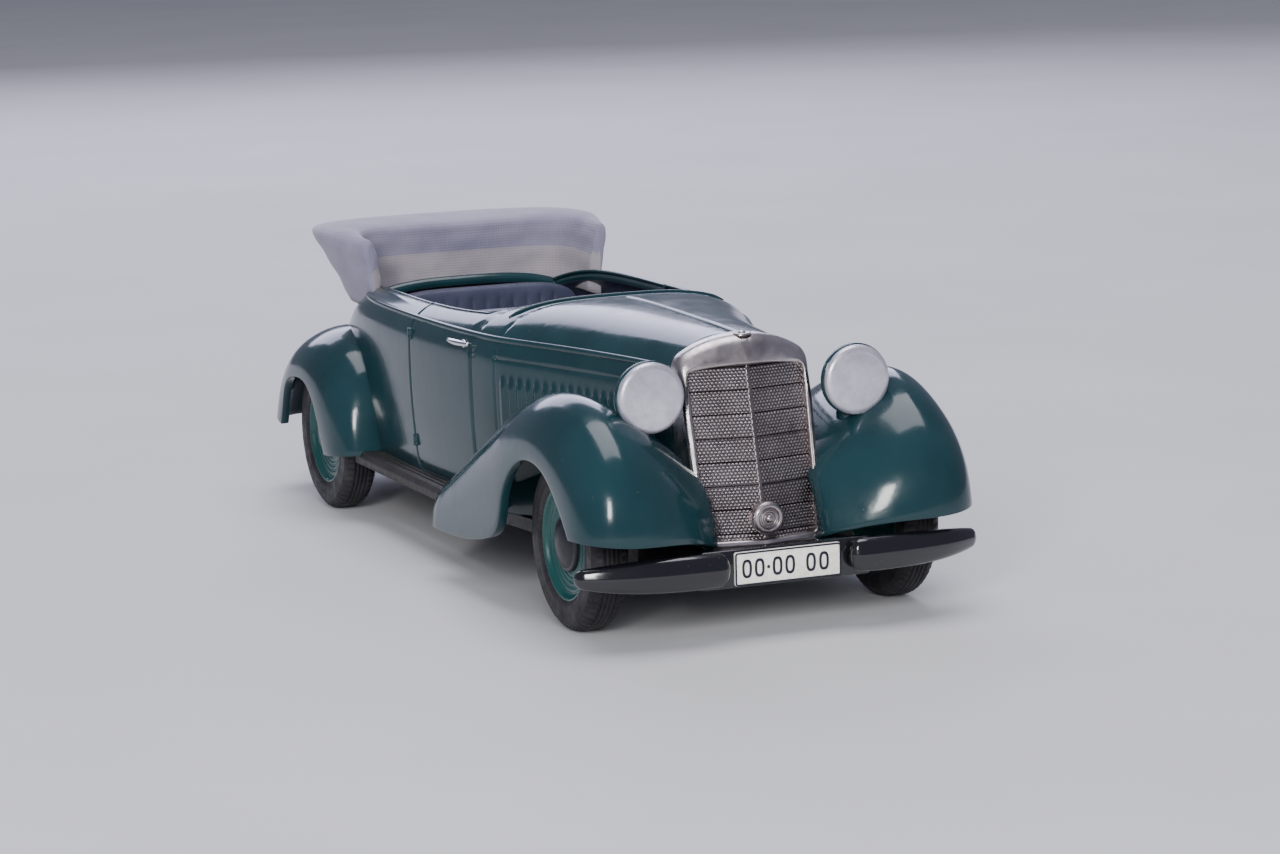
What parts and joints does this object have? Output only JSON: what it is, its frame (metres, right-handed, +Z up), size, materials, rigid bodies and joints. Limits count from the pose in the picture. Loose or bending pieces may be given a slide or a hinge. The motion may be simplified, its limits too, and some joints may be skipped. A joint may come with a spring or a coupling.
{
  "type": "diecast collector car",
  "caption": "Small-scale open touring car of the 1930s: separate wings, upright radiator, round lamps, folded hood and wheels that roll on two axles.",
  "frame": {"origin": "middle of the model's box, on the ground the tyres stand on", "axes": "+Z up, +Y from the nose to the tail, +X to the car's left side"},
  "size_m": [0.0386, 0.0989, 0.0286],
  "materials": {
    "body_green": "gloss enamel",
    "board_black": "satin",
    "radiator_metal": "plated, dull",
    "lamp_disc": "satin silver",
    "gloss_black": "gloss",
    "plate_cream": "printed",
    "base_black": "satin",
    "steel": "plain",
    "tyre_black": "rubber",
    "wheel_green": "gloss enamel",
    "interior_dark": "satin",
    "dash_dark": "satin",
    "hood_cloth": "matt, cloth-like",
    "bright_trim": "bright",
    "hinge_dark": "gloss enamel",
    "lamp_red": "gloss"
  },
  "bodies": {
    "car": {"base_plate": "base_black", "base_screws": "steel", "body_shell": "body_green", "cowl_rail": "bright_trim", "dashboard": "dash_dark", "door_handles": "bright_trim", "door_hinges": "hinge_dark", "exhaust_pipe": "base_black", "folded_hood": "hood_cloth", "front_axle_strap": "base_black", "front_bumper_left": "gloss_black", "front_bumper_right": "gloss_black", "front_plate": "plate_cream", "front_plate_holder": "gloss_black", "front_seat_left": "interior_dark", "front_seat_right": "interior_dark", "front_wing_left": "body_green", "front_wing_right": "body_green", "gear_lever": "dash_dark", "grille_boss": "radiator_metal", "headlamp_disc_left": "lamp_disc", "headlamp_disc_right": "lamp_disc", "headlamp_pedestal_left": "body_green", "headlamp_pedestal_right": "body_green", "headlamp_shell_left": "body_green", "headlamp_shell_right": "body_green", "interior_floor": "interior_dark", "radiator_cap": "radiator_metal", "radiator_grille": "radiator_metal", "radiator_shell": "radiator_metal", "rear_axle_strap": "base_black", "rear_bench": "interior_dark", "rear_bumper_left": "gloss_black", "rear_bumper_right": "gloss_black", "rear_plate": "plate_cream", "rear_plate_holder": "gloss_black", "rear_wing_left": "body_green", "rear_wing_right": "body_green", "running_board_left": "board_black", "running_board_right": "board_black", "spare_hub_cap": "gloss_black", "spare_tyre": "tyre_black", "spare_wheel_disc": "wheel_green", "steering_column": "dash_dark", "steering_wheel": "dash_dark", "tail_lamps": "lamp_red"},
    "front_wheelset": {"front_axle": "steel", "tyre_front_left": "tyre_black", "wheel_disc_front_left": "wheel_green", "hub_cap_front_left": "gloss_black", "tyre_front_right": "tyre_black", "wheel_disc_front_right": "wheel_green", "hub_cap_front_right": "gloss_black"},
    "rear_wheelset": {"rear_axle": "steel", "tyre_rear_left": "tyre_black", "wheel_disc_rear_left": "wheel_green", "hub_cap_rear_left": "gloss_black", "tyre_rear_right": "tyre_black", "wheel_disc_rear_right": "wheel_green", "hub_cap_rear_right": "gloss_black"}
  },
  "joints": [
    {"name": "front_axle_spin", "type": "hinge", "parent": "car", "child": "front_wheelset", "pos_m": [0, -0.037, 0.00775], "axis": [1, 0, 0], "continuous": true},
    {"name": "rear_axle_spin", "type": "hinge", "parent": "car", "child": "rear_wheelset", "pos_m": [0, 0.0292, 0.00775], "axis": [1, 0, 0], "continuous": true}
  ]
}
